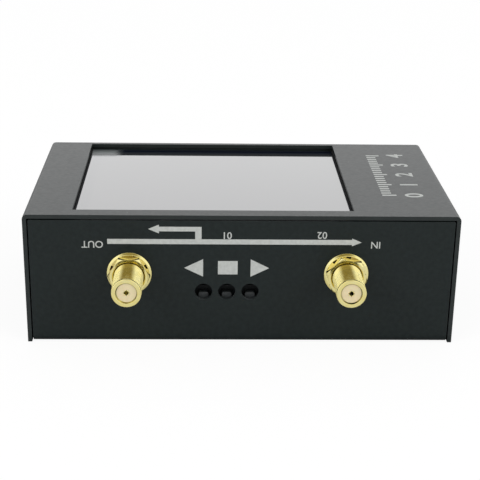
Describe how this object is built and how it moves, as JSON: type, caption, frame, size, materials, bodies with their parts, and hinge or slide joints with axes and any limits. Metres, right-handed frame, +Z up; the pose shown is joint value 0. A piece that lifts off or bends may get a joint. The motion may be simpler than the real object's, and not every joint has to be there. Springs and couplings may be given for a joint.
{
  "type": "antenna analyzer",
  "caption": "Pocket antenna analyzer: folded black metal case with a screen on top, a connector panel with threaded coaxial ports and recessed push buttons, and a rear power switch.",
  "frame": {"origin": "centre of the case's underside", "axes": "+Z up, +X along the case's width, +Y from the connector panel to the rear panel; the ports point along -Y"},
  "size_m": [0.094, 0.0664, 0.0298],
  "materials": {
    "case_anodised": "satin, anodised black",
    "black_screw": "black oxide",
    "zinc_steel": "bright zinc",
    "brass_standoff": "turned brass",
    "screen_glass": "polished",
    "black_tape": "matt",
    "lcd_dark": "polished",
    "backlight_frame": "moulded white",
    "foam_tape": "foam",
    "circuit_board": "solder mask",
    "ribbon_film": "polyimide film",
    "cream_plastic": "moulded",
    "black_plastic": "moulded",
    "stem_plastic": "moulded, grey-black",
    "chip_plastic": "moulded epoxy",
    "tin_plate": "tinned steel",
    "ferrite": "sintered",
    "capacitor_ceramic": "sintered ceramic",
    "gold_plate": "gold plated",
    "white_insulator": "turned fluoropolymer",
    "battery_foil": "laminated foil pouch",
    "red_insulation": "silicone lead",
    "black_insulation": "silicone lead"
  },
  "bodies": {
    "case": {"cover": "case_anodised", "base": "case_anodised", "cover_screws": "black_screw", "lip_nuts": "zinc_steel", "base_screws": "black_screw", "lower_standoffs": "brass_standoff", "upper_spacers": "brass_standoff", "display_screws": "zinc_steel", "touch_glass": "screen_glass", "window_tape": "black_tape", "lcd_cell": "lcd_dark", "lcd_frame": "backlight_frame", "display_tape": "foam_tape", "display_board": "circuit_board", "display_ribbon": "ribbon_film", "ribbon_connector": "cream_plastic", "display_header": "black_plastic", "display_socket": "black_plastic", "display_pins": "gold_plate", "main_board": "circuit_board", "processor_chip": "chip_plastic", "processor_legs": "tin_plate", "synthesizer_chips": "chip_plastic", "crystal": "tin_plate", "power_inductor": "ferrite", "board_capacitors": "capacitor_ceramic", "left_switch_body": "black_plastic", "middle_switch_body": "black_plastic", "right_switch_body": "black_plastic", "switch_domes": "tin_plate", "slide_switch_frame": "tin_plate", "slide_switch_base": "black_plastic", "usb_shell": "tin_plate", "usb_tongue": "black_plastic", "battery": "battery_foil", "battery_tape": "foam_tape", "battery_board": "circuit_board", "red_wire": "red_insulation", "black_wire": "black_insulation", "battery_plug": "cream_plastic", "battery_header": "cream_plastic", "left_shield": "tin_plate", "left_connector": "gold_plate", "left_insulator": "white_insulator", "left_contact": "gold_plate", "left_washer": "gold_plate", "left_nut": "gold_plate", "right_shield": "tin_plate", "right_connector": "gold_plate", "right_insulator": "white_insulator", "right_contact": "gold_plate", "right_washer": "gold_plate", "right_nut": "gold_plate"},
    "left_button": {"left_button": "stem_plastic"},
    "middle_button": {"middle_button": "stem_plastic"},
    "right_button": {"right_button": "stem_plastic"},
    "power_slider": {"power_slider": "stem_plastic"}
  },
  "joints": [
    {"name": "left_button_press", "type": "slide", "parent": "case", "child": "left_button", "axis": [0, 1, 0], "range_m": [0, 0.00025], "stiffness_N_per_m": 400, "springref_m": -0.002},
    {"name": "middle_button_press", "type": "slide", "parent": "case", "child": "middle_button", "axis": [0, 1, 0], "range_m": [0, 0.00025], "stiffness_N_per_m": 400, "springref_m": -0.002},
    {"name": "right_button_press", "type": "slide", "parent": "case", "child": "right_button", "axis": [0, 1, 0], "range_m": [0, 0.00025], "stiffness_N_per_m": 400, "springref_m": -0.002},
    {"name": "power_slide", "type": "slide", "parent": "case", "child": "power_slider", "axis": [1, 0, 0], "range_m": [0, 0.002]}
  ]
}
